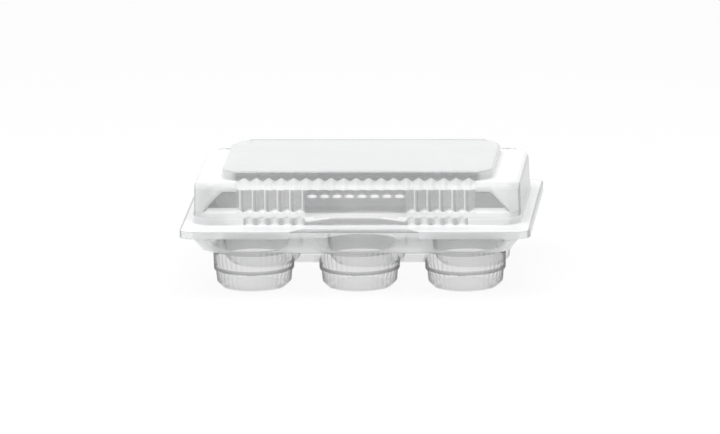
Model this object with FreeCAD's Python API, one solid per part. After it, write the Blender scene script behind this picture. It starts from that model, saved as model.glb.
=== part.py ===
import FreeCAD, Part
import math
import os

V = FreeCAD.Vector

# Clear hinged clamshell pack for six small cakes. Millimetres, Z up, front at -Y,
# origin on the table under the middle of the closed pack.

# The sheet and the closed pack
SHEET = 0.5
LENGTH = 240.0
DEPTH = 164.5
HEIGHT = 83.0
SEAM_Z = 47.0

# Flanges where the two halves meet
FLANGE_CORNER = 9.0
LIP_DROP = 5.3
LIP_GAP = 0.3
LIP_END_Y = 70.0
NOTCH_HALF = 44.0
NOTCH_CURVE = 4.25

# Hinge bead along the rear edge
HINGE_HALF = 104.0

# Lid walls, measured in from the flange's edge and up from the seam
LID_SIDE_FLANGE = 7.2
LID_FRONT_FLANGE = 18.25
LID_CORNER = 14.0
PLINTH_HEIGHT = 5.6
PLINTH_LEAN = 0.5
LEDGE_RUN = 3.5
LEDGE_RISE = 3.1
WALL_TOP = 24.0
WALL_LEAN = 1.5
END_LEAN = 0.3
SHOULDER_RISE = 5.3
SHOULDER_RUN = 6.0
SHOULDER_STEPS = 3

# Raised label panel on top of the lid
PANEL_HALF_LENGTH = 93.2
PANEL_HALF_DEPTH = 52.2
PANEL_FRONT_CORNER = 12.0
PANEL_REAR_CORNER = 20.0
PANEL_EDGE = 0.8
PANEL_LEAN = 0.4

# Upright flutes on the lid's long walls
FLUTE_PITCH = 8.55
FLUTES_PER_SIDE = 9
FLUTE_DEPTH = 2.4
FLUTE_ROOT_COVER = 0.2
LABEL_FLUTES = 4
LABEL_TOP = 19.6
LABEL_PROUD = 0.15
CORNER_BLOCK_TOP = 91.5
CORNER_BLOCK_FOOT = 105.0
CORNER_BLOCK_FOOT_RISE = 9.0
CORNER_BLOCK_SHOULDER = 82.6

# Base basin, measured down from the seam
BASIN_HALF_LENGTH = 112.5
BASIN_HALF_DEPTH = 77.0
BASIN_CORNER = 12.0
RIM_DROP = 7.5
RIM_LEAN = 0.6
BASIN_FLOOR_DROP = 18.0
BASIN_FLOOR_HALF_LENGTH = 102.0
BASIN_FLOOR_HALF_DEPTH = 66.5
BASIN_FLOOR_CORNER = 9.0
BASIN_EDGE = 2.0

# Six cups
CUP_COLUMNS = 3
CUP_ROWS = 2
CUP_PITCH_X = 72.7
CUP_PITCH_Y = 72.8
CUP_MOUTH_R = 28.9
CUP_TOP_R = 28.1
CUP_BAND_R = 27.6
CUP_STEP_R = 26.2
CUP_LOW_R = 25.6
CUP_FLOOR_R = 22.0
CUP_MOUTH_DROP = 1.2
CUP_STEP_Z = 10.4
CUP_STEP_RISE = 1.9
CUP_FOOT_Z = 3.6
CUP_FLUTES = 42
CUP_FLUTE_DEPTH = 0.7
CUP_LOW_FLUTE_DEPTH = 0.4

# Lowered saddles between cups that stand side by side
SADDLE_Z = 18.3
SADDLE_HALF_LENGTH = 14.0
SADDLE_HALF_DEPTH = 14.4
SADDLE_STEP_RISE = 3.4
SADDLE_STEP = 1.3
SADDLE_EDGE = 1.2

# Details of the lid's plinth: grooves under the outer flutes, and an arch above the thumb notch
GROOVE_DEPTH = 1.2
GROOVE_RAMP_RISE = 2.0
ARCH_END_RISE = 2.3
ARCH_STEPS = 6

# How far a forming shape runs past the face that trims it
OVERRUN = 1.0

# Places worked out from the sizes above
FRONT_Y = -DEPTH / 2
HINGE_Y = DEPTH / 2 - SHEET
LID_TOP = SEAM_Z + SHEET
LID_FOOT_X = LENGTH / 2 - LID_SIDE_FLANGE
LID_FOOT_Y = DEPTH / 2 - LID_FRONT_FLANGE
PLINTH_Z = SEAM_Z + PLINTH_HEIGHT
LEDGE_Z = PLINTH_Z + LEDGE_RISE
LEDGE_Y = LID_FOOT_Y - PLINTH_LEAN - LEDGE_RUN
WALL_TOP_Z = SEAM_Z + WALL_TOP
WALL_TOP_Y = LEDGE_Y - WALL_LEAN
SHOULDER_Z = WALL_TOP_Z + SHOULDER_RISE
FLOOR_Z = SEAM_Z - BASIN_FLOOR_DROP
CUP_CENTRES = [
    ((column - (CUP_COLUMNS - 1) / 2) * CUP_PITCH_X, (row - (CUP_ROWS - 1) / 2) * CUP_PITCH_Y)
    for row in range(CUP_ROWS)
    for column in range(CUP_COLUMNS)
]


def line(a, b):
    return Part.LineSegment(a, b).toShape()


def arc(centre, radius, start, end):
    """Arc about a vertical line through centre, between two angles in degrees."""
    angles = [math.radians(a) for a in (start, (start + end) / 2, end)]
    points = [centre + V(radius * math.cos(a), radius * math.sin(a), 0) for a in angles]
    return Part.Arc(*points).toShape()


def outline(z, half_x, front, rear, front_r, rear_r):
    """Rectangle with rounded corners at height z, from front to rear along Y."""
    return Part.Wire([
        line(V(-half_x + front_r, front, z), V(half_x - front_r, front, z)),
        arc(V(half_x - front_r, front + front_r, z), front_r, -90, 0),
        line(V(half_x, front + front_r, z), V(half_x, rear - rear_r, z)),
        arc(V(half_x - rear_r, rear - rear_r, z), rear_r, 0, 90),
        line(V(half_x - rear_r, rear, z), V(-half_x + rear_r, rear, z)),
        arc(V(-half_x + rear_r, rear - rear_r, z), rear_r, 90, 180),
        line(V(-half_x, rear - rear_r, z), V(-half_x, front + front_r, z)),
        arc(V(-half_x + front_r, front + front_r, z), front_r, 180, 270),
    ])


def notched_outline(z, inset):
    """The lid flange's outline: rounded corners, and a thumb notch in the front edge."""
    half_x = LENGTH / 2 - inset
    front = FRONT_Y + inset
    rear = HINGE_Y
    r = FLANGE_CORNER - inset
    bend_y = FRONT_Y + NOTCH_CURVE
    outer_x = NOTCH_HALF
    inner_x = NOTCH_HALF - 2 * NOTCH_CURVE
    outer_r = NOTCH_CURVE - inset
    inner_r = NOTCH_CURVE + inset
    back_y = bend_y + inner_r
    return Part.Wire([
        line(V(-half_x + r, front, z), V(-outer_x, front, z)),
        arc(V(-outer_x, bend_y, z), outer_r, -90, 0),
        arc(V(-inner_x, bend_y, z), inner_r, 180, 90),
        line(V(-inner_x, back_y, z), V(inner_x, back_y, z)),
        arc(V(inner_x, bend_y, z), inner_r, 90, 0),
        arc(V(outer_x, bend_y, z), outer_r, 180, 270),
        line(V(outer_x, front, z), V(half_x - r, front, z)),
        arc(V(half_x - r, front + r, z), r, -90, 0),
        line(V(half_x, front + r, z), V(half_x, rear - r, z)),
        arc(V(half_x - r, rear - r, z), r, 0, 90),
        line(V(half_x - r, rear, z), V(-half_x + r, rear, z)),
        arc(V(-half_x + r, rear - r, z), r, 90, 180),
        line(V(-half_x, rear - r, z), V(-half_x, front + r, z)),
        arc(V(-half_x + r, front + r, z), r, 180, 270),
    ])


def prism(wire, height):
    return Part.Face(wire).extrude(V(0, 0, height))


def loft(wires):
    return Part.makeLoft(wires, True, True)


def box(low, high):
    size = high - low
    return Part.makeBox(size.x, size.y, size.z, low)


def fused(shapes):
    return shapes[0].multiFuse(shapes[1:])


def both_sides(shape):
    """The shape on the front wall, and its mirror image on the rear wall."""
    return [shape, shape.mirror(V(0, 0, 0), V(0, 1, 0))]


def stack(sections, inset):
    """Loft through rounded rectangles given as (z, half length, half depth, corner radius)."""
    return loft([
        outline(z, x - inset, -y + inset, y - inset, r - inset, r - inset)
        for z, x, y, r in sections
    ])


def lowered(z, inset):
    """Height of a lid level on the inside of the sheet: full sheet at the shoulder, none at the seam."""
    return z - inset * (z - SEAM_Z) / (SHOULDER_Z - SEAM_Z)


def lid_foot_z(inset):
    """Lid forms start inside the flange; the inner ones start below it, to open the sheet."""
    return SEAM_Z + SHEET / 2 if inset == 0 else SEAM_Z - OVERRUN


def plinth(inset):
    """Low foot of the lid's walls, with a ledge that leans in at 45 degrees or so."""
    slope = LEDGE_RUN / LEDGE_RISE
    lean_in = LEDGE_RUN + FLUTE_DEPTH + OVERRUN
    top_z = PLINTH_Z + lean_in / slope
    side_x = LID_FOOT_X - PLINTH_LEAN / 2
    side_y = LID_FOOT_Y - PLINTH_LEAN
    return stack([
        (lid_foot_z(inset), LID_FOOT_X, LID_FOOT_Y, LID_CORNER),
        (lowered(PLINTH_Z, inset), side_x, side_y, LID_CORNER),
        (lowered(top_z, inset), side_x - lean_in, side_y - lean_in, LID_CORNER - lean_in / 2),
    ], inset)


def corner_walls(inset):
    """The smooth walls and shoulder at the lid's two ends."""
    end_x = LID_FOOT_X - PLINTH_LEAN
    r = LID_CORNER - PLINTH_LEAN
    top_x = end_x - END_LEAN
    sections = [(lid_foot_z(inset), end_x, LEDGE_Y + PLINTH_LEAN, r)]
    for step in range(SHOULDER_STEPS + 1):
        turn = math.pi / 2 * step / SHOULDER_STEPS
        run = SHOULDER_RUN * (1 - math.cos(turn))
        z = WALL_TOP_Z + SHOULDER_RISE * math.sin(turn)
        sections.append((lowered(z, inset), top_x - run, WALL_TOP_Y - run, r - run / 2))
    walls = stack(sections, inset)
    return [walls.common(block) for block in corner_blocks(inset)]


def corner_blocks(inset):
    """Where the end walls stand proud: everything beyond a slanted edge, at each end."""
    outer = LENGTH
    foot_z = SEAM_Z + CORNER_BLOCK_FOOT_RISE
    profile = [
        (outer, -OVERRUN),
        (CORNER_BLOCK_FOOT + inset, -OVERRUN),
        (CORNER_BLOCK_FOOT + inset, foot_z),
        (CORNER_BLOCK_TOP + inset, lowered(WALL_TOP_Z, -inset)),
        (CORNER_BLOCK_SHOULDER + inset, lowered(WALL_TOP_Z, -inset)),
        (CORNER_BLOCK_SHOULDER + inset, HEIGHT),
        (outer, HEIGHT),
        (outer, -OVERRUN),
    ]
    blocks = []
    for side in (-1, 1):
        wire = Part.makePolygon([V(side * x, -DEPTH, z) for x, z in profile])
        blocks.append(Part.Face(wire).extrude(V(0, 2 * DEPTH, 0)))
    return blocks


def core(inset):
    """Set-back wall behind the flutes and in the slanted panels beside them."""
    half_x = CORNER_BLOCK_FOOT + OVERRUN
    set_back = FLUTE_DEPTH - FLUTE_ROOT_COVER
    top_y = WALL_TOP_Y - set_back
    return stack([
        (lid_foot_z(inset), half_x, LEDGE_Y - set_back + PLINTH_LEAN, FLUTE_PITCH),
        (lowered(WALL_TOP_Z, inset), half_x, top_y, FLUTE_PITCH),
        (lowered(SHOULDER_Z, inset) - FLUTE_ROOT_COVER, half_x - SHOULDER_RUN,
         PANEL_HALF_DEPTH - FLUTE_ROOT_COVER, FLUTE_PITCH),
    ], inset)


def raised_panel(inset):
    """Large flat panel on top, with a softened edge."""
    wires = []
    top_z = HEIGHT - inset
    levels = ((WALL_TOP_Z, 0.0), (top_z - PANEL_EDGE, PANEL_LEAN), (top_z, PANEL_LEAN + PANEL_EDGE))
    for z, shrink in levels:
        trim = shrink + inset
        wires.append(outline(
            z, PANEL_HALF_LENGTH - trim, -PANEL_HALF_DEPTH + trim, PANEL_HALF_DEPTH - trim,
            PANEL_FRONT_CORNER - trim, PANEL_REAR_CORNER - trim,
        ))
    return loft(wires)


def flute_section(z, crest_y, inset):
    """Zigzag across the front wall at height z: crests at crest_y, roots one flute depth behind."""
    half_pitch = FLUTE_PITCH / 2
    steps = 2 * FLUTES_PER_SIDE + 1
    end_x = steps * half_pitch - inset
    back_y = -PANEL_HALF_DEPTH / 2
    points = [V(-end_x, back_y, z)]
    for step in range(-steps, steps + 1):
        root = FLUTE_DEPTH if step % 2 else 0.0
        x = max(-end_x, min(end_x, step * half_pitch))
        points.append(V(x, -crest_y + root + inset, z))
    points += [V(end_x, back_y, z), V(-end_x, back_y, z)]
    return Part.makePolygon(points)


def flutes(inset):
    """Upright pleats: up the wall, over the shoulder, ending as points against the panel's step."""
    rise = SHOULDER_RISE + FLUTE_DEPTH + OVERRUN
    run = rise * (WALL_TOP_Y - PANEL_HALF_DEPTH) / (SHOULDER_RISE + FLUTE_DEPTH)
    levels = [
        (lid_foot_z(inset), LID_FOOT_Y),
        (lowered(PLINTH_Z, inset), LID_FOOT_Y - PLINTH_LEAN),
        (lowered(LEDGE_Z, inset), LEDGE_Y),
        (lowered(WALL_TOP_Z, inset), WALL_TOP_Y),
        (lowered(WALL_TOP_Z + rise, inset), WALL_TOP_Y - run),
    ]
    return loft([flute_section(z, y, inset) for z, y in levels])


def label_band(inset):
    """Smooth band across the middle flutes, flush with their crests; its top is a small ledge."""
    half_x = LABEL_FLUTES * FLUTE_PITCH - inset
    top_z = SEAM_Z + LABEL_TOP
    share = (top_z - LEDGE_Z) / (WALL_TOP_Z - LEDGE_Z)
    back_y = -PANEL_HALF_DEPTH / 2
    profile = [
        (-LID_FOOT_Y, lid_foot_z(inset)),
        (-LID_FOOT_Y + PLINTH_LEAN, lowered(PLINTH_Z, inset)),
        (-LEDGE_Y, lowered(LEDGE_Z, inset)),
        (-LEDGE_Y + share * WALL_LEAN, top_z - inset),
        (back_y, top_z - inset),
        (back_y, lid_foot_z(inset)),
        (-LID_FOOT_Y, lid_foot_z(inset)),
    ]
    proud = LABEL_PROUD - inset
    points = [V(-half_x, y if y == back_y else y - proud, z) for y, z in profile]
    return Part.Face(Part.makePolygon(points)).extrude(V(2 * half_x, 0, 0))


def plinth_grooves(inset):
    """Upright grooves in the plinth below the roots of the outer flutes, each with a ramp at its foot."""
    half_pitch = FLUTE_PITCH / 2
    half_width = half_pitch * (1 + OVERRUN / GROOVE_DEPTH)
    ramp_drop = OVERRUN * GROOVE_RAMP_RISE / GROOVE_DEPTH
    top_z = PLINTH_Z + 2 * GROOVE_DEPTH
    top_y = LID_FOOT_Y - PLINTH_LEAN * (top_z - SEAM_Z) / PLINTH_HEIGHT
    levels = (
        (LID_FOOT_Y, LID_TOP - ramp_drop, LID_TOP + GROOVE_RAMP_RISE),
        (top_y, top_z, top_z),
    )
    grooves = []
    for step in range(2 * LABEL_FLUTES + 1, 2 * FLUTES_PER_SIDE, 2):
        for x in (-step * half_pitch, step * half_pitch):
            wires = []
            for face_y, outer_z, root_z in levels:
                left = V(x - half_width, -face_y - OVERRUN + inset, outer_z)
                right = V(x + half_width, -face_y - OVERRUN + inset, outer_z)
                root = V(x, -face_y + GROOVE_DEPTH + inset, root_z)
                wires.append(Part.makePolygon([left, right, root, left]))
            grooves += both_sides(loft(wires))
    return grooves


def thumb_arch(inset):
    """Slope that widens the ledge downwards towards the label band's ends, so its lower edge is an arch.

    It starts just clear of the band's own edges.
    """
    half_x = LABEL_FLUTES * FLUTE_PITCH + LABEL_PROUD
    full_rise = PLINTH_HEIGHT + PLINTH_LEAN
    top_y = LEDGE_Y + 2 * LABEL_PROUD
    face_y = LID_FOOT_Y + LABEL_PROUD
    wires = []
    for step in range(ARCH_STEPS + 1):
        share = 2 * step / ARCH_STEPS - 1
        rise = full_rise - (full_rise - ARCH_END_RISE) * share ** 2
        slope = (LEDGE_Z - SEAM_Z - rise) / (face_y - top_y)
        outer_z = lowered(SEAM_Z + rise, inset) - slope * OVERRUN
        top = V(share * half_x, -top_y + inset, lowered(LEDGE_Z, inset))
        low = V(top.x, -face_y - OVERRUN + inset, outer_z)
        high = V(top.x, low.y, top.z)
        wires.append(Part.makePolygon([top, low, high, top]))
    return loft(wires)


def lid_form(inset):
    grooved_plinth = plinth(inset).cut(plinth_grooves(inset))
    shapes = [grooved_plinth, core(inset), raised_panel(inset)] + corner_walls(inset)
    for front_shape in (flutes(inset), label_band(inset)):
        shapes += both_sides(front_shape)
    return fused(shapes).cut(thumb_arch(inset))


def lid_lip():
    """Thin skirt that hangs from the lid's flange around the front and both sides."""
    low_z = LID_TOP - LIP_DROP
    height = LIP_DROP - SHEET / 2
    ring = prism(notched_outline(low_z, 0.0), height).cut(prism(notched_outline(low_z, SHEET), height))
    rear_gap = box(V(-LENGTH, LIP_END_Y, 0), V(LENGTH, DEPTH, HEIGHT))
    notch_gap = box(V(-NOTCH_HALF, -DEPTH, 0), V(NOTCH_HALF, 0, HEIGHT))
    return ring.cut(fused([rear_gap, notch_gap]))


def lid():
    plate = prism(notched_outline(SEAM_Z, 0.0), SHEET)
    return fused([plate, lid_lip(), lid_form(0.0)]).cut(lid_form(SHEET))


def basin(inset):
    """Open tray above the cups: upright rim, then walls that lean in to a flat floor."""
    top_z = SEAM_Z - SHEET / 2 if inset == 0 else SEAM_Z + OVERRUN
    edge_x = BASIN_FLOOR_HALF_LENGTH + 2 * BASIN_EDGE
    edge_y = BASIN_FLOOR_HALF_DEPTH + 2 * BASIN_EDGE
    return stack([
        (top_z, BASIN_HALF_LENGTH, BASIN_HALF_DEPTH, BASIN_CORNER),
        (SEAM_Z - RIM_DROP, BASIN_HALF_LENGTH - RIM_LEAN, BASIN_HALF_DEPTH - RIM_LEAN, BASIN_CORNER),
        (FLOOR_Z + BASIN_EDGE + inset / 2, edge_x, edge_y, BASIN_FLOOR_CORNER + BASIN_EDGE),
        (FLOOR_Z + inset, BASIN_FLOOR_HALF_LENGTH, BASIN_FLOOR_HALF_DEPTH, BASIN_FLOOR_CORNER),
    ], inset)


def star(x, y, z, radius, groove):
    """Round outline with fine flutes: radius at the crests, less the groove between them."""
    points = []
    for step in range(2 * CUP_FLUTES + 1):
        angle = math.pi * step / CUP_FLUTES
        r = radius - (groove if step % 2 else 0.0)
        points.append(V(x + r * math.cos(angle), y + r * math.sin(angle), z))
    return Part.makePolygon(points)


def cup(x, y, inset):
    """One cup: flared mouth in the basin floor, fluted body with a step, sloping foot."""
    mouth_z = FLOOR_Z + inset
    levels = [
        (mouth_z + OVERRUN, CUP_MOUTH_R, 0.0),
        (mouth_z, CUP_MOUTH_R, 0.0),
        (mouth_z - CUP_MOUTH_DROP, CUP_TOP_R, CUP_FLUTE_DEPTH),
        (CUP_STEP_Z + CUP_STEP_RISE + inset / 2, CUP_BAND_R, CUP_FLUTE_DEPTH),
        (CUP_STEP_Z + inset / 2, CUP_STEP_R, CUP_LOW_FLUTE_DEPTH),
        (CUP_FOOT_Z + inset / 2, CUP_LOW_R, CUP_LOW_FLUTE_DEPTH),
        (inset, CUP_FLOOR_R, 0.0),
    ]
    return loft([star(x, y, z, r - inset, groove) for z, r, groove in levels])


def saddle(x, y, inset):
    """Lowered channel that joins two cups standing side by side."""
    step_z = SADDLE_Z + SADDLE_STEP_RISE
    levels = [
        (SADDLE_Z + inset, SADDLE_STEP + SADDLE_EDGE),
        (SADDLE_Z + SADDLE_EDGE + inset / 2, SADDLE_STEP),
        (step_z + inset / 2, SADDLE_STEP),
        (step_z + SADDLE_EDGE / 2 + inset / 2, 0.0),
        (FLOOR_Z + OVERRUN, 0.0),
    ]
    wires = []
    for z, shrink in levels:
        half_y = SADDLE_HALF_DEPTH - shrink - inset
        low = V(x - SADDLE_HALF_LENGTH, y - half_y, z)
        high = V(x + SADDLE_HALF_LENGTH, y + half_y, z)
        wires.append(Part.makePolygon([low, V(high.x, low.y, z), high, V(low.x, high.y, z), low]))
    return loft(wires)


def base_form(inset):
    shapes = [basin(inset)] + [cup(x, y, inset) for x, y in CUP_CENTRES]
    for column in range(CUP_COLUMNS - 1):
        for row in range(CUP_ROWS):
            x, y = CUP_CENTRES[row * CUP_COLUMNS + column]
            shapes.append(saddle(x + CUP_PITCH_X / 2, y, inset))
    return fused(shapes)


def base_tray():
    clearance = SHEET + LIP_GAP
    r = FLANGE_CORNER - clearance
    wire = outline(SEAM_Z - SHEET, LENGTH / 2 - clearance, FRONT_Y + clearance, HINGE_Y, r, r)
    return fused([prism(wire, SHEET), base_form(0.0)]).cut(base_form(SHEET))


def hinge_bead():
    """Half-round bead of the same sheet that joins the two flanges along the rear edge."""
    bead = Part.makeCylinder(SHEET, 2 * HINGE_HALF, V(-HINGE_HALF, HINGE_Y, SEAM_Z), V(1, 0, 0))
    return bead.common(box(V(-LENGTH, HINGE_Y, 0), V(LENGTH, DEPTH, HEIGHT)))


os.makedirs("parts", exist_ok=True)
for name, shape in (("base_tray", base_tray()), ("lid", lid()), ("hinge_bead", hinge_bead())):
    shape.exportStep("parts/" + name + ".step")
    print(name, shape.isValid(), len(shape.Solids), len(shape.Faces), round(shape.Volume, 1))
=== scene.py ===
import math

import bmesh
import bpy
from mathutils import Matrix, Vector


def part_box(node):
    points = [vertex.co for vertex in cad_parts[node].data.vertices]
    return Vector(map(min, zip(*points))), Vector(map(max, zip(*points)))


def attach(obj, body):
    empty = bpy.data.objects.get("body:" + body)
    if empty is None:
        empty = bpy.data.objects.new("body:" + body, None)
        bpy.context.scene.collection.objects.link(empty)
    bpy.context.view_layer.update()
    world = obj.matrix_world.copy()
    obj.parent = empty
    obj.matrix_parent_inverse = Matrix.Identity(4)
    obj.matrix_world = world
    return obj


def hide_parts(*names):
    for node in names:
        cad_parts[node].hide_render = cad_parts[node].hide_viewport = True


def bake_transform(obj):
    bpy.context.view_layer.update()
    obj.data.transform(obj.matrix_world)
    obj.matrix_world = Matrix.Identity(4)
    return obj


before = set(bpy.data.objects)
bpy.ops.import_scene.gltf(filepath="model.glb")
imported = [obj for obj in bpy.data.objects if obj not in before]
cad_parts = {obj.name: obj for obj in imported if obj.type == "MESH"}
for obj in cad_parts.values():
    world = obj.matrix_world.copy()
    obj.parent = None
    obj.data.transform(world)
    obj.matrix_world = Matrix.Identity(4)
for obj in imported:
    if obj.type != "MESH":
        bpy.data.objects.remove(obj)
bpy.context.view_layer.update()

MM = 0.001

# Sizes read from the frame
LID_LOW, LID_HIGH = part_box("lid")
_, TRAY_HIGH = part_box("base_tray")
HALF_LENGTH = LID_HIGH.x
FRONT_EDGE = -LID_LOW.y
HINGE_Y = LID_HIGH.y
LIP_Z = LID_LOW.z
TOP_Z = LID_HIGH.z
SEAM_Z = TRAY_HIGH.z

# The clear sheet, with the smallest gap that keeps two resting sheets apart
SHEET = 0.5 * MM
SHEET_GAP = 0.04 * MM
WELD = 0.01 * MM

# Flange and lip of the lid
FLANGE_Z = SEAM_Z + SHEET
FLANGE_CORNER = 9.0 * MM
FLANGE_EDGE_RUN = 1.5 * MM
LIP_END_Y = 70.0 * MM
NOTCH_HALF = 44.0 * MM
NOTCH_DEPTH = 8.5 * MM

# The lid's wall, from its foot up to the shoulder. A draft is a small offset that makes the wall lean
FOOT_X = HALF_LENGTH - 7.2 * MM
FOOT_Y = FRONT_EDGE - 18.25 * MM
FOOT_CORNER = 14.0 * MM
FOOT_RUN = 2.0 * MM
END_FOOT_RUN = 1.0 * MM
PLINTH_Z = SEAM_Z + 5.6 * MM
PLINTH_DRAFT = 0.5 * MM
PLINTH_Y = FOOT_Y - PLINTH_DRAFT
END_PLINTH_DRAFT = 0.25 * MM
LEDGE_Z = PLINTH_Z + 3.1 * MM
LEDGE_Y = PLINTH_Y - 3.5 * MM
LEDGE_SLOPE = (LEDGE_Z - PLINTH_Z) / (PLINTH_Y - LEDGE_Y)
END_WALL_X = FOOT_X - 0.5 * MM
WALL_CORNER = 13.5 * MM
WALL_TOP_Z = SEAM_Z + 24.0 * MM
WALL_TOP_Y = LEDGE_Y - 1.5 * MM
SHELF_LOW_Z = SEAM_Z + 18.9 * MM
SHELF_HIGH_Z = SEAM_Z + 20.7 * MM
SHELF_LOW_DRAFT = 0.4 * MM
SHELF_HIGH_DRAFT = 0.3 * MM
END_SHELF_DRAFT = 0.2 * MM
SHOULDER_RUN = 6.0 * MM
SHOULDER_RISE = 5.3 * MM
SHOULDER_STEPS = 6
END_SHOULDER_DRAFT = 0.3 * MM

# The raised panel on top, and where the crests of the flutes run into its side
PANEL_X = 93.0 * MM
PANEL_Y = 52.2 * MM
PANEL_FRONT_CORNER = 12.0 * MM
PANEL_REAR_CORNER = 20.0 * MM
PANEL_EDGE = 0.9 * MM
PANEL_RIM = 3.6 * MM
CREST_MEET_Z = WALL_TOP_Z + 7.7 * MM
CREST_SLOPE = (CREST_MEET_Z - WALL_TOP_Z) / (WALL_TOP_Y - PANEL_Y)

# Flutes of the long walls, the label band across them and the recess at each end
PITCH = 8.55 * MM
FLUTES_PER_SIDE = 9
FLUTE_DEPTH = 2.4 * MM
FLUTED_X = (FLUTES_PER_SIDE + 0.5) * PITCH
LABEL_X = 4 * PITCH
GROOVE_DEPTH = 1.2 * MM
GROOVE_RAMP = 2.0 * MM
ARCH_CROWN = 0.5 * MM
ARCH_END_RISE = 2.3 * MM
RECESS_DEPTH = 2.2 * MM
RECESS_FOOT = Vector((105.0 * MM, SEAM_Z + 9.0 * MM))
RECESS_TOP_X = 91.5 * MM
RECESS_LEAN = (RECESS_FOOT.x - RECESS_TOP_X) / (WALL_TOP_Z - RECESS_FOOT.y)
RECESS_SOFTNESS = 0.8 * MM
RECESS_TOP_RUN = 1.5 * MM

# How finely the lid is divided
STEPS_PER_PITCH = 8
END_STEPS = 140
ARC_STEPS = 24
LID_SMOOTHING = 2

# The basin's floor, the cups' places and the heights at which the look of the front cups changes
BASIN_FLOOR_Z = SEAM_Z - 18.0 * MM
BASIN_FLOOR_SLACK = 0.2 * MM
CUP_ROW_Y = 36.4 * MM
CUP_PITCH = 72.7 * MM
CUP_REACH = 29.2 * MM
CUP_BACK_RUN = 10.0 * MM
CUP_BAND_LOW = 12.2 * MM
CUP_BAND_HIGH = 15.0 * MM
CUP_EYE_Z = 19.0 * MM
CUP_NECK_Z = 25.5 * MM
CUP_FRONT_STEPS = (17.0 * MM, 20.5 * MM, 24.0 * MM, 27.5 * MM, 31.0 * MM)

# The two copied pieces: faces within the first angle are joined, and edges past the second are crisp
FLAT_WITHIN = math.radians(0.5)
CREASE_FROM = math.radians(24)

# The sheet's finish: the milky share of a fully milky face seen square on, what the clear share lets through,
# the pale colour and the grey of painted shade, the least cosine of a slant, and the painted grey outline of
# a rounded edge
MILKINESS = 0.4
SHEET_TINT = 0.985
SHEET_COLOR = (0.9, 0.905, 0.91, 1.0)
SHADED_COLOR = (0.25, 0.255, 0.26, 1.0)
SHEET_ROUGHNESS = 0.15
SHEET_IOR = 1.45
LEAST_COSINE = 0.12
OUTLINE_FROM = 0.8
EDGE_SHADE = 0.6

# Faint waves in the sheet
WAVE_SCALE = 60.0
WAVE_DETAIL = 2.0
WAVE_STRENGTH = 0.2
WAVE_HEIGHT = 0.5 * MM

# The lid's zones. Milk is 0 where the sheet is clear and 1 where it is milky. Shade is 0 where it is pale
# and 1 where it is grey. Both are set by place, to match the light and dark that the real pack shows from
# its front: the shade is painted shade and painted highlight, and the milk is partly the sheet's own
# milkiness and partly how strongly that painted shade shows
STEEP_FROM = 0.45
STEEP_TO = 0.85
PANEL_MILK = 0.5
PANEL_SHADE = 0.12
BROW_RUN = 3.0 * MM
BROW_SHADE = 0.8
STEP_SHADE = 0.75
LEDGE_SHADE = 0.3
CORNER_MILK = 0.9
PLINTH_LIFT = 0.3 * MM
OUTLINE_RUN = 1.5 * MM
OUTLINE_SHADE = 0.6

# Shares of a flute's pitch, and of the wall's shade, for the painted highlight line and the painted dark
# shade line beside each crest
HIGHLIGHT_LINE_FROM = 0.62
HIGHLIGHT_LINE_TO = 0.76
SHADE_LINE_FROM = 0.87
HIGHLIGHT_LINE_SHADE = 0.2
FLUTE_SHADE = 0.7

# The zones of the tray and the hinge bead, set in the same way, with painted shade
FLOOR_MILK = 0.3
LEVEL_FROM = 0.9
BASIN_MILK = 0.6
CUP_FRONT_MILK = 0.25
FLANGE_FADE_LOW = 1.5 * MM
FLANGE_FADE_HIGH = 0.6 * MM
RIM_LEVEL_TO = 0.3
NOTCH_SHADE = 0.7
CUP_MILK = 0.072
CUP_SHADED_FLANK_MILK = 0.216
REAR_CUP_MILK = 0.03
SHADED_FLANK_SOFTNESS = 0.15
CUP_FLANK_SHADE = 0.5
CUP_SIDE_FROM = 0.35
CUP_SIDE_SHADE = 0.6
CUP_BAND_TOP_MILK = 0.5
CUP_NECK_SHADE = 0.5
BEAD_SHADE = 0.3

# Light: watts, places and sizes of the soft boxes, the room's own light, and how white the floor shows
TOP_LIGHT = 18.0
TOP_PLACE = (0.0, -0.3, 1.4)
TOP_SIZE = (1.6, 1.2)
LEFT_LIGHT = 3.0
LEFT_PLACE = (-1.3, -0.6, 0.8)
LEFT_SIZE = (0.8, 0.8)
ROOM_LIGHT = (0.5, 0.5, 0.5, 1.0)
FLOOR_SIZE = 20.0
FLOOR_COLOR = (0.9, 0.9, 0.9, 1.0)
FLOOR_ROUGHNESS = 0.9
FLOOR_WHITE = 0.9

# The camera, fitted to the photograph
CAMERA_YAW = math.radians(4.659)
CAMERA_PITCH = math.radians(12.653)
CAMERA_ROLL = math.radians(-1.062)
CAMERA_DISTANCE = 7.2836
CAMERA_LENS = 528.8
CAMERA_AIM = Vector((-0.00216, 0.0, 0.0392))


def smooth_step(low, high, value):
    """Rises softly from 0 at low to 1 at high."""
    share = max(0.0, min(1.0, (value - low) / (high - low)))
    return share * share * (3 - 2 * share)


def lengthen(corners):
    """A path through corners given as (point, number of steps that lead to it)."""
    path = [corners[0][0]]
    for (start, _), (end, count) in zip(corners, corners[1:]):
        path += [start.lerp(end, (step + 1) / count) for step in range(count)]
    return path


def flute_dip(x):
    """How far the fluted wall lies behind its crests at x."""
    across = abs(x) / PITCH % 1.0
    return FLUTE_DEPTH * (1 - abs(2 * across - 1))


def groove_dip(x):
    """The same for the shallow grooves of the plinth, which the label band doesn't have."""
    grooved = LABEL_X < abs(x) < FLUTES_PER_SIDE * PITCH
    return flute_dip(x) * GROOVE_DEPTH / FLUTE_DEPTH if grooved else 0.0


def arch_rise(x, front):
    """Height of the plinth's upper edge over the seam: a flat-topped arch in the middle of the front."""
    full = PLINTH_Z - SEAM_Z
    if not front or abs(x) > LABEL_X:
        return full
    return min(full, full + ARCH_CROWN - (full - ARCH_END_RISE) * (x / LABEL_X) ** 2)


def notch(x):
    """How far the thumb notch sets the flange's front edge back at x."""
    return NOTCH_DEPTH * (1 - smooth_step(NOTCH_HALF - NOTCH_DEPTH, NOTCH_HALF, abs(x)))


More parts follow.
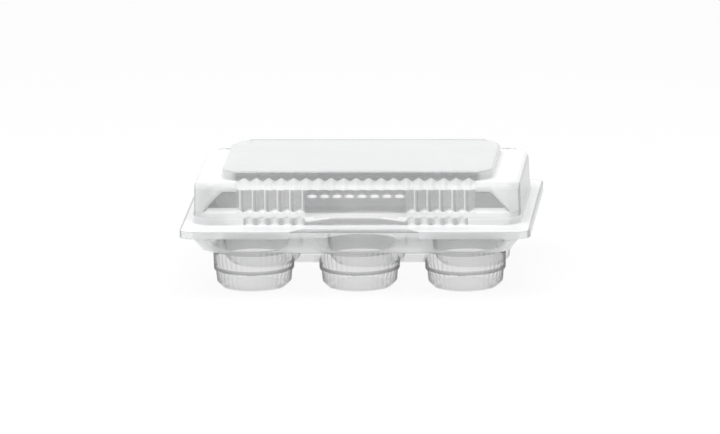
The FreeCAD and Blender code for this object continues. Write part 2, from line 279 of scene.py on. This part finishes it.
def wall_profile(x, front):
    """Points (distance from the middle, height) down the long wall at x, from the panel to the lip."""
    dip = flute_dip(x)
    low_dip = 0.0 if abs(x) <= LABEL_X else dip
    groove = groove_dip(x)
    groove_foot_z = FLANGE_Z + GROOVE_RAMP * groove / GROOVE_DEPTH
    plinth_rise = arch_rise(x, front)
    plinth_y = PLINTH_Y + PLINTH_DRAFT * (1 - plinth_rise / (PLINTH_Z - SEAM_Z))
    edge_y = FRONT_EDGE - notch(x) if front else HINGE_Y
    lip_z = LIP_Z if front and abs(x) > NOTCH_HALF else FLANGE_Z
    return lengthen([
        (Vector((PANEL_Y - PANEL_RIM, TOP_Z)), 0),
        (Vector((PANEL_Y - PANEL_EDGE, TOP_Z)), 1),
        (Vector((PANEL_Y, TOP_Z - PANEL_EDGE)), 2),
        (Vector((PANEL_Y, CREST_MEET_Z - dip * CREST_SLOPE)), 5),
        (Vector((WALL_TOP_Y - dip, WALL_TOP_Z)), 9),
        (Vector((WALL_TOP_Y + SHELF_HIGH_DRAFT - dip, SHELF_HIGH_Z)), 4),
        (Vector((WALL_TOP_Y + SHELF_LOW_DRAFT - low_dip, SHELF_LOW_Z)), 2),
        (Vector((LEDGE_Y - low_dip, LEDGE_Z + low_dip * LEDGE_SLOPE)), 9),
        (Vector((plinth_y - groove, SEAM_Z + plinth_rise + groove * LEDGE_SLOPE)), 4),
        (Vector((FOOT_Y - groove, groove_foot_z)), 4),
        (Vector((FOOT_Y, FLANGE_Z)), 2),
        (Vector((FOOT_Y + FOOT_RUN, FLANGE_Z)), 2),
        (Vector((edge_y - FLANGE_EDGE_RUN, FLANGE_Z)), 5),
        (Vector((edge_y, FLANGE_Z)), 2),
        (Vector((edge_y, lip_z)), 5),
    ])


def end_levels():
    """The same path for the lid's ends: (half length, front, rear, front corner, rear corner, height)."""
    def even(half_length, half_depth, corner, z):
        return Vector((half_length, half_depth, half_depth, corner, corner, z))

    def panel(shrink, z):
        return Vector((PANEL_X - shrink, PANEL_Y - shrink, PANEL_Y - shrink,
                       PANEL_FRONT_CORNER - shrink, PANEL_REAR_CORNER - shrink, z))

    shoulder = []
    for step in range(SHOULDER_STEPS + 1):
        turn = math.pi / 2 * (1 - step / SHOULDER_STEPS)
        run = SHOULDER_RUN * (1 - math.cos(turn))
        z = WALL_TOP_Z + SHOULDER_RISE * math.sin(turn)
        level = even(END_WALL_X - END_SHOULDER_DRAFT - run, WALL_TOP_Y - run, WALL_CORNER - run / 2, z)
        shoulder.append((level, 1 if step else 3))
    edge = Vector((HALF_LENGTH, FRONT_EDGE, HINGE_Y, FLANGE_CORNER, FLANGE_CORNER, FLANGE_Z))
    inner_edge = edge - Vector([FLANGE_EDGE_RUN] * 5 + [0.0])
    lip = edge.copy()
    lip[5] = LIP_Z
    shelf_x = END_WALL_X - END_SHELF_DRAFT
    return lengthen([
        (panel(PANEL_RIM, TOP_Z), 0),
        (panel(PANEL_EDGE, TOP_Z), 1),
        (panel(0.0, TOP_Z - PANEL_EDGE), 2),
        (panel(0.0, WALL_TOP_Z + SHOULDER_RISE), 5),
    ] + shoulder + [
        (even(shelf_x, WALL_TOP_Y + SHELF_HIGH_DRAFT, WALL_CORNER, SHELF_HIGH_Z), 4),
        (even(shelf_x, WALL_TOP_Y + SHELF_LOW_DRAFT, WALL_CORNER, SHELF_LOW_Z), 2),
        (even(END_WALL_X, LEDGE_Y, WALL_CORNER, LEDGE_Z), 9),
        (even(FOOT_X - END_PLINTH_DRAFT, PLINTH_Y, FOOT_CORNER, PLINTH_Z), 4),
        (even(FOOT_X, FOOT_Y, FOOT_CORNER, FLANGE_Z), 6),
        (even(FOOT_X + END_FOOT_RUN, FOOT_Y + FOOT_RUN, FOOT_CORNER, FLANGE_Z), 2),
        (inner_edge, 5),
        (edge, 2),
        (lip, 5),
    ])


def side_y(x, half_length, half_depth, corner):
    """Distance of a rounded rectangle's long side from the middle at x."""
    past = max(0.0, x - (half_length - corner))
    return half_depth - corner + math.sqrt(max(0.0, corner * corner - past * past))


def end_path(half_length, front, rear, front_corner, rear_corner):
    """The outline's right end as points evenly spaced from the last front flute to the last rear one."""
    corners = [Vector((FLUTED_X, -side_y(FLUTED_X, half_length, front, front_corner)))]
    arcs = ((-90, -front + front_corner, front_corner), (0, rear - rear_corner, rear_corner))
    for start, middle_y, radius in arcs:
        for step in range(ARC_STEPS + 1):
            angle = math.radians(start + 90 * step / ARC_STEPS)
            x = half_length - radius + radius * math.cos(angle)
            if x > FLUTED_X:
                corners.append(Vector((x, middle_y + radius * math.sin(angle))))
    corners.append(Vector((FLUTED_X, side_y(FLUTED_X, half_length, rear, rear_corner))))
    lengths = [0.0]
    for start, end in zip(corners, corners[1:]):
        lengths.append(lengths[-1] + (end - start).length)
    points = []
    leg = 0
    for step in range(1, END_STEPS):
        reach = lengths[-1] * step / END_STEPS
        while lengths[leg + 1] < reach:
            leg += 1
        share = (reach - lengths[leg]) / (lengths[leg + 1] - lengths[leg])
        points.append(corners[leg].lerp(corners[leg + 1], share))
    return points


def past_recess(x, z):
    """Rises softly from 0 in the recess to 1 past its slanted edge, which leans in as it rises."""
    edge_x = RECESS_FOOT.x - (z - RECESS_FOOT.y) * RECESS_LEAN
    return smooth_step(edge_x - RECESS_SOFTNESS, edge_x + RECESS_SOFTNESS, x)


def recess(x, z):
    """Depth of the slant-edged recess beside the flutes."""
    below = 1 - smooth_step(WALL_TOP_Z - RECESS_TOP_RUN, WALL_TOP_Z, z)
    return RECESS_DEPTH * (1 - past_recess(x, z)) * below


def lid_rings():
    """Rings of points round the lid, one for each step down its wall."""
    count = 2 * round(FLUTED_X / PITCH * STEPS_PER_PITCH)
    xs = [(2 * step / count - 1) * FLUTED_X for step in range(count + 1)]
    fronts = [wall_profile(x, True) for x in xs]
    rears = [wall_profile(x, False) for x in xs]
    rings = []
    for k, (half_length, front, rear, front_corner, rear_corner, z) in enumerate(end_levels()):
        right = []
        for point in end_path(half_length, front, rear, front_corner, rear_corner):
            dip = 0.0
            height = z
            if LEDGE_Z - WELD <= z < WALL_TOP_Z:
                foot_share = (WALL_TOP_Z - z) / (WALL_TOP_Z - LEDGE_Z)
                foot_dip = recess(point.x, LEDGE_Z + RECESS_DEPTH * LEDGE_SLOPE)
                dip = recess(point.x, z)
                height = z + foot_dip * LEDGE_SLOPE * foot_share
            no_lip = z < FLANGE_Z and point.y > LIP_END_Y
            place = point.y + math.copysign(dip, -point.y)
            right.append(Vector((point.x, place, FLANGE_Z if no_lip else height)))
        ring = [Vector((x, -side[k].x, side[k].y)) for x, side in zip(xs, fronts)]
        ring += right
        ring += [Vector((x, side[k].x, side[k].y)) for x, side in reversed(list(zip(xs, rears)))]
        ring += [Vector((-point.x, point.y, point.z)) for point in reversed(right)]
        rings.append(ring)
    return rings


def formed_skin(name, rings, smoothing, thickness):
    """A sheet formed through rings of points: a welded grid, capped, smoothed and given its thickness."""
    bm = bmesh.new()
    around = len(rings[0])
    grid = bmesh.ops.create_grid(bm, x_segments=around, y_segments=len(rings) - 1, size=1.0)["verts"]
    grid.sort(key=lambda v: (round(v.co.y, 6), v.co.x))
    for k, ring in enumerate(rings):
        for vertex, point in zip(grid[k * (around + 1):], ring + ring[:1]):
            vertex.co = point
    bmesh.ops.remove_doubles(bm, verts=bm.verts, dist=WELD)
    cap_z = rings[0][0].z
    cap_edges = [e for e in bm.edges if e.is_boundary and all(abs(v.co.z - cap_z) < WELD for v in e.verts)]
    bmesh.ops.holes_fill(bm, edges=cap_edges, sides=0)
    edge_verts = {v for e in bm.edges if e.is_boundary for v in e.verts}
    inner = [v for v in bm.verts if v not in edge_verts]
    for _ in range(smoothing):
        bmesh.ops.smooth_vert(bm, verts=inner, factor=0.5, use_axis_x=True, use_axis_y=True, use_axis_z=True)
    bmesh.ops.recalc_face_normals(bm, faces=bm.faces)
    top = max(bm.faces, key=lambda f: f.calc_area())
    if top.normal.z < 0:
        bmesh.ops.reverse_faces(bm, faces=bm.faces)
    mesh = bpy.data.meshes.new(name)
    bm.to_mesh(mesh)
    bm.free()
    piece = bpy.data.objects.new(name, mesh)
    bpy.context.scene.collection.objects.link(piece)
    solid = piece.modifiers.new("sheet", "SOLIDIFY")
    solid.thickness = thickness
    solid.offset = -1.0
    mesh.shade_smooth()
    return piece


def tray_cuts():
    """Planes (point, direction across) that part the tray's faces where its look changes."""
    up = Vector((0.0, 0.0, 1.0))
    along = Vector((1.0, 0.0, 0.0))
    cups = (-CUP_PITCH, 0.0, CUP_PITCH)
    beside_cups = [x + side * step for x in cups for step in CUP_FRONT_STEPS for side in (-1, 1)]
    cuts = [(Vector((0.0, 0.0, z)), up) for z in (CUP_BAND_HIGH, CUP_EYE_Z, CUP_NECK_Z)]
    cuts += [(Vector((x, 0.0, 0.0)), along) for x in [-NOTCH_HALF, NOTCH_HALF] + beside_cups]
    cuts.append((Vector((0.0, NOTCH_DEPTH - FRONT_EDGE, 0.0)), Vector((0.0, 1.0, 0.0))))
    return cuts


def copy_of_node(node, name, cuts):
    """The node's shape as one welded mesh of flat faces with crisp creases, also cut along some planes."""
    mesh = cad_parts[node].data.copy()
    mesh.name = name
    bm = bmesh.new()
    bm.from_mesh(mesh)
    bmesh.ops.remove_doubles(bm, verts=bm.verts, dist=WELD)
    bmesh.ops.dissolve_limit(bm, angle_limit=FLAT_WITHIN, verts=bm.verts, edges=bm.edges)
    for place, across in cuts:
        whole = list(bm.verts) + list(bm.edges) + list(bm.faces)
        bmesh.ops.bisect_plane(bm, geom=whole, dist=WELD, plane_co=place, plane_no=across)
    bm.to_mesh(mesh)
    bm.free()
    mesh.shade_smooth()
    mesh.set_sharp_from_angle(angle=CREASE_FROM)
    piece = bpy.data.objects.new(name, mesh)
    bpy.context.scene.collection.objects.link(piece)
    return piece


def shoulder_shade(point, steep):
    """Painted shade above the lid's wall: dark at the rear shoulder and on the panel's side, but for its
    corners.
    """
    if point.y > WALL_TOP_Y - SHOULDER_RUN - BROW_RUN:
        return BROW_SHADE
    if point.z <= WALL_TOP_Z + 0.5 * SHOULDER_RISE:
        return 0.0
    corner_from = PANEL_X - PANEL_FRONT_CORNER
    in_corner = smooth_step(corner_from, PANEL_X - 0.5 * PANEL_FRONT_CORNER, abs(point.x))
    return STEP_SHADE * steep * (1.0 - in_corner)


def flute_highlight_and_shade(x):
    """Share of its shade that a fluted wall keeps at x: painted highlight and painted shade lines by each
    crest.
    """
    across = x / PITCH % 1.0
    if HIGHLIGHT_LINE_FROM < across < HIGHLIGHT_LINE_TO:
        return HIGHLIGHT_LINE_SHADE
    return 1.0 if across > SHADE_LINE_FROM else FLUTE_SHADE


def wall_look(point, steep):
    """Milk and painted shade of the lid's wall: shaded in the flutes and recess, and pale past the recess."""
    across = abs(point.x)
    if LABEL_X < across < FLUTED_X:
        steep *= flute_highlight_and_shade(point.x)
    past = past_recess(across, point.z)
    return 1.0 + (CORNER_MILK - 1.0) * past, steep * (1.0 - past)


def lid_look(point, normal, corner):
    """Milkiness and shade of the lid on one face, zone by zone from the panel down to the lip."""
    steep = smooth_step(STEEP_FROM, STEEP_TO, 1.0 - abs(normal.z))
    across = abs(point.x)
    if point.z > TOP_Z - PANEL_EDGE:
        # The panel gets a light painted shade, and a painted dark outline along its rear rim
        at_rear_edge = point.y > PANEL_Y - PANEL_RIM
        return (1.0, 1.0) if at_rear_edge else (PANEL_MILK, PANEL_SHADE)
    # A painted grey outline runs down each end of the lid, at the flange's edge and on the end wall
    on_end_wall = point.z > PLINTH_Z and across > END_WALL_X - OUTLINE_RUN and steep > 0.0
    if across > HALF_LENGTH - OUTLINE_RUN or on_end_wall:
        return 1.0, OUTLINE_SHADE
    if point.z > WALL_TOP_Z:
        return 1.0, shoulder_shade(point, steep)
    # The ledge gets at least a light painted shade
    if PLINTH_Z < point.z < LEDGE_Z and steep < LEDGE_SHADE:
        return 1.0, LEDGE_SHADE
    if point.z > PLINTH_Z:
        return wall_look(point, steep)
    # Painted shade on the plinth's steep faces: dark at the groove crests and under the label band, light at
    # the groove roots
    if point.z > FLANGE_Z + PLINTH_LIFT and across < FLUTES_PER_SIDE * PITCH:
        return 1.0, steep * (1.0 - groove_dip(across) / GROOVE_DEPTH)
    return 1.0, 0.0


def basin_look(point, normal, corner):
    """Milk and shade above the basin's floor: clearer in line with a cup, painted shade at the rim and notch.
    """
    at_flange = smooth_step(SEAM_Z - FLANGE_FADE_LOW, SEAM_Z - FLANGE_FADE_HIGH, point.z)
    at_rim = point.z > SEAM_Z - SHEET and abs(normal.z) < RIM_LEVEL_TO
    in_notch = at_flange > 0.5 and point.y < NOTCH_DEPTH - FRONT_EDGE and abs(point.x) < NOTCH_HALF
    from_cup = min(abs(abs(corner.x) - CUP_PITCH), abs(corner.x))
    beside_cup = smooth_step(CUP_FRONT_STEPS[0], CUP_FRONT_STEPS[-1], from_cup)
    milk = CUP_FRONT_MILK + (BASIN_MILK - CUP_FRONT_MILK) * beside_cup
    return max(milk, at_flange), NOTCH_SHADE if at_rim or in_notch else 0.0


def cup_look(point, normal, corner):
    """Milk and painted shade of the cups: grey sides and flute flanks, and on front cups a band, neck and
    back.
    """
    middle_x = CUP_PITCH * max(-1, min(1, round(point.x / CUP_PITCH)))
    outward = Vector((point.x - middle_x, point.y - math.copysign(CUP_ROW_Y, point.y)))
    on_cup = outward.length < CUP_REACH
    outward.normalize()
    # One flank of each flute gets painted shade and more milk, and sides that face left or right get painted
    # shade
    turned = outward.x * normal.y - outward.y * normal.x
    shaded_flank = smooth_step(-SHADED_FLANK_SOFTNESS, SHADED_FLANK_SOFTNESS, turned) if on_cup else 0.0
    side_shade = CUP_SIDE_SHADE * smooth_step(CUP_SIDE_FROM, 1.0, abs(normal.x))
    shade = min(1.0, side_shade + CUP_FLANK_SHADE * shaded_flank)
    if point.y > 0.0:
        return REAR_CUP_MILK, shade
    milk = CUP_MILK + CUP_SHADED_FLANK_MILK * shaded_flank
    behind = smooth_step(0.0, CUP_BACK_RUN, CUP_ROW_Y + point.y)
    # On the front cups, painted shade makes a dark band just above the step, a dark neck under the basin's
    # floor, and a grey upper back
    if CUP_BAND_LOW < point.z < CUP_BAND_HIGH and behind < 0.5:
        below_top = corner.z < CUP_BAND_HIGH - WELD
        return (1.0 if below_top else CUP_BAND_TOP_MILK), 1.0
    if point.z > CUP_NECK_Z and behind < 0.5:
        return 1.0, max(shade, CUP_NECK_SHADE)
    if point.z > CUP_EYE_Z:
        return max(milk, behind), max(shade, behind)
    return milk, shade


def tray_look(point, normal, corner):
    """Milkiness and shade of the tray: above the basin's floor, on the floor, and on the cups below it."""
    if point.z > BASIN_FLOOR_Z + BASIN_FLOOR_SLACK:
        return basin_look(point, normal, corner)
    if point.z > CUP_NECK_Z and abs(normal.z) > LEVEL_FROM:
        return FLOOR_MILK, 0.0
    return cup_look(point, normal, corner)


def bead_look(point, normal, corner):
    """Milkiness and shade of the hinge bead."""
    return 1.0, BEAD_SHADE


def dress(piece, node, material, look):
    """Gives a piece its material, milkiness and shade, and lets it stand for a node."""
    mesh = piece.data
    # Milk and shade carry each zone's painted light and shade to the corners of its faces
    milk = mesh.attributes.new("milk", "FLOAT", "CORNER")
    shade = mesh.attributes.new("shade", "FLOAT", "CORNER")
    for face in mesh.polygons:
        for loop in face.loop_indices:
            corner = mesh.vertices[mesh.loops[loop].vertex_index].co
            milk.data[loop].value, shade.data[loop].value = look(face.center, face.normal, corner)
    piece.data.materials.clear()
    piece.data.materials.append(material)
    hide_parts(node)


def math_node(nodes, links, operation, first, second):
    """One step of arithmetic; each side is a number or another node's output."""
    node = nodes.new("ShaderNodeMath")
    node.operation = operation
    for socket, value in zip(node.inputs, (first, second)):
        if isinstance(value, bpy.types.NodeSocket):
            links.new(value, socket)
        else:
            socket.default_value = value
    return node.outputs["Value"]


def carried_value(nodes, name):
    """A number that a piece carries at each corner of its faces."""
    node = nodes.new("ShaderNodeAttribute")
    node.attribute_name = name
    return node.outputs["Fac"]


def faint_waves(nodes, links):
    """The normal of a sheet that isn't quite even."""
    coords = nodes.new("ShaderNodeTexCoord")
    waves = nodes.new("ShaderNodeTexNoise")
    waves.inputs["Scale"].default_value = WAVE_SCALE
    waves.inputs["Detail"].default_value = WAVE_DETAIL
    links.new(coords.outputs["Object"], waves.inputs["Vector"])
    bump = nodes.new("ShaderNodeBump")
    bump.inputs["Strength"].default_value = WAVE_STRENGTH
    bump.inputs["Distance"].default_value = WAVE_HEIGHT
    links.new(waves.outputs["Fac"], bump.inputs["Height"])
    return bump.outputs["Normal"]


def sheet_color(nodes, links, facing):
    """The sheet's colour: grey by the piece's painted shade, and a painted grey outline on steep faces."""
    outline = nodes.new("ShaderNodeMapRange")
    outline.inputs["From Min"].default_value = OUTLINE_FROM
    outline.inputs["From Max"].default_value = 1.0
    outline.inputs["To Max"].default_value = EDGE_SHADE
    links.new(facing, outline.inputs["Value"])
    geometry = nodes.new("ShaderNodeNewGeometry")
    normal = nodes.new("ShaderNodeSeparateXYZ")
    links.new(geometry.outputs["Normal"], normal.inputs["Vector"])
    level = math_node(nodes, links, "ABSOLUTE", normal.outputs["Z"], 0.0)
    steep = math_node(nodes, links, "SUBTRACT", 1.0, level)
    outline_shade = math_node(nodes, links, "MULTIPLY", outline.outputs["Result"], steep)
    shade = math_node(nodes, links, "MAXIMUM", carried_value(nodes, "shade"), outline_shade)
    color = nodes.new("ShaderNodeMix")
    color.data_type = "RGBA"
    color.inputs["A"].default_value = SHEET_COLOR
    color.inputs["B"].default_value = SHADED_COLOR
    links.new(shade, color.inputs["Factor"])
    return color.outputs["Result"]


def clear_sheet():
    """The clear sheet: partly a milky body and partly clear, with more of the body at a slant."""
    material = bpy.data.materials.new("clear_sheet")
    material.use_nodes = True
    nodes = material.node_tree.nodes
    links = material.node_tree.links
    layer = nodes.new("ShaderNodeLayerWeight")
    layer.inputs["Blend"].default_value = 0.5
    facing = layer.outputs["Facing"]
    cosine = math_node(nodes, links, "SUBTRACT", 1.0, facing)
    cosine = math_node(nodes, links, "MAXIMUM", cosine, LEAST_COSINE)
    path_length = math_node(nodes, links, "DIVIDE", 1.0, cosine)
    share = math_node(nodes, links, "MULTIPLY", carried_value(nodes, "milk"), MILKINESS)
    passed = math_node(nodes, links, "SUBTRACT", 1.0, share)
    passed = math_node(nodes, links, "POWER", passed, path_length)
    body = math_node(nodes, links, "SUBTRACT", 1.0, passed)
    clear = nodes.new("ShaderNodeBsdfTransparent")
    links.new(math_node(nodes, links, "POWER", SHEET_TINT, path_length), clear.inputs["Color"])
    shader = nodes["Principled BSDF"]
    links.new(sheet_color(nodes, links, facing), shader.inputs["Base Color"])
    shader.inputs["Roughness"].default_value = SHEET_ROUGHNESS
    shader.inputs["IOR"].default_value = SHEET_IOR
    links.new(faint_waves(nodes, links), shader.inputs["Normal"])
    mix = nodes.new("ShaderNodeMixShader")
    links.new(body, mix.inputs["Fac"])
    links.new(clear.outputs["BSDF"], mix.inputs[1])
    links.new(shader.outputs["BSDF"], mix.inputs[2])
    links.new(mix.outputs["Shader"], nodes["Material Output"].inputs["Surface"])
    return material


def background_rays(nodes, links):
    """1 for the rays that show the background: those of the camera, of reflections and of glass."""
    ray = nodes.new("ShaderNodeLightPath")
    seen = ray.outputs["Is Camera Ray"]
    for name in ("Is Glossy Ray", "Is Transmission Ray"):
        seen = math_node(nodes, links, "MAXIMUM", seen, ray.outputs[name])
    return seen


def floor():
    """Large pale floor."""
    bm = bmesh.new()
    bmesh.ops.create_grid(bm, x_segments=1, y_segments=1, size=FLOOR_SIZE)
    mesh = bpy.data.meshes.new("floor")
    bm.to_mesh(mesh)
    bm.free()
    plane = bpy.data.objects.new("floor", mesh)
    bpy.context.scene.collection.objects.link(plane)
    material = bpy.data.materials.new("floor_white")
    material.use_nodes = True
    nodes = material.node_tree.nodes
    links = material.node_tree.links
    shader = nodes["Principled BSDF"]
    shader.inputs["Base Color"].default_value = FLOOR_COLOR
    shader.inputs["Roughness"].default_value = FLOOR_ROUGHNESS
    white = nodes.new("ShaderNodeEmission")
    mix = nodes.new("ShaderNodeMixShader")
    share = math_node(nodes, links, "MULTIPLY", background_rays(nodes, links), FLOOR_WHITE)
    links.new(share, mix.inputs["Fac"])
    links.new(shader.outputs["BSDF"], mix.inputs[1])
    links.new(white.outputs["Emission"], mix.inputs[2])
    links.new(mix.outputs["Shader"], nodes["Material Output"].inputs["Surface"])
    plane.data.materials.append(material)


def camera():
    """The camera at the photograph's place."""
    yaw = CAMERA_YAW
    pitch = CAMERA_PITCH
    roll = CAMERA_ROLL
    view = Vector((-math.sin(yaw) * math.cos(pitch), math.cos(yaw) * math.cos(pitch), -math.sin(pitch)))
    right = Vector((math.cos(yaw), math.sin(yaw), 0.0))
    up = right.cross(view)
    rolled_right = math.cos(roll) * right + math.sin(roll) * up
    rolled_up = -math.sin(roll) * right + math.cos(roll) * up
    data = bpy.data.cameras.new("camera")
    data.lens = CAMERA_LENS
    data.clip_end = 100.0
    cam = bpy.data.objects.new("camera", data)
    matrix = Matrix((rolled_right, rolled_up, -view)).transposed().to_4x4()
    matrix.translation = CAMERA_AIM - view * CAMERA_DISTANCE
    cam.matrix_world = matrix
    bpy.context.scene.collection.objects.link(cam)
    bpy.context.scene.camera = cam


def area_lamp(name, place, size, power):
    """A soft box that looks at the pack."""
    data = bpy.data.lights.new(name, "AREA")
    data.shape = "RECTANGLE"
    data.size = size[0]
    data.size_y = size[1]
    data.energy = power
    lamp = bpy.data.objects.new(name, data)
    lamp.location = place
    aim = CAMERA_AIM - Vector(place)
    lamp.rotation_euler = aim.to_track_quat("-Z", "Y").to_euler()
    bpy.context.scene.collection.objects.link(lamp)


def studio():
    """Soft white room and two soft boxes."""
    world = bpy.data.worlds.new("studio")
    bpy.context.scene.world = world
    world.use_nodes = True
    nodes = world.node_tree.nodes
    links = world.node_tree.links
    nodes.clear()
    out = nodes.new("ShaderNodeOutputWorld")
    light = nodes.new("ShaderNodeBackground")
    light.inputs["Color"].default_value = ROOM_LIGHT
    white = nodes.new("ShaderNodeBackground")
    white.inputs["Color"].default_value = (1.0, 1.0, 1.0, 1.0)
    mix = nodes.new("ShaderNodeMixShader")
    links.new(background_rays(nodes, links), mix.inputs["Fac"])
    links.new(light.outputs["Background"], mix.inputs[1])
    links.new(white.outputs["Background"], mix.inputs[2])
    links.new(mix.outputs["Shader"], out.inputs["Surface"])
    area_lamp("top_soft_box", TOP_PLACE, TOP_SIZE, TOP_LIGHT)
    area_lamp("left_soft_box", LEFT_PLACE, LEFT_SIZE, LEFT_LIGHT)


sheet_material = clear_sheet()

lid_skin = formed_skin("lid_skin", lid_rings(), LID_SMOOTHING, SHEET - SHEET_GAP)
dress(lid_skin, "lid", sheet_material, lid_look)
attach(lid_skin, "lid")

tray_skin = copy_of_node("base_tray", "base_tray_skin", tray_cuts())
dress(tray_skin, "base_tray", sheet_material, tray_look)
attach(tray_skin, "base")

bead_skin = copy_of_node("hinge_bead", "hinge_bead_skin", ())
dress(bead_skin, "hinge_bead", sheet_material, bead_look)
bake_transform(bead_skin)

floor()
camera()
studio()
bpy.context.scene.view_settings.view_transform = "Standard"
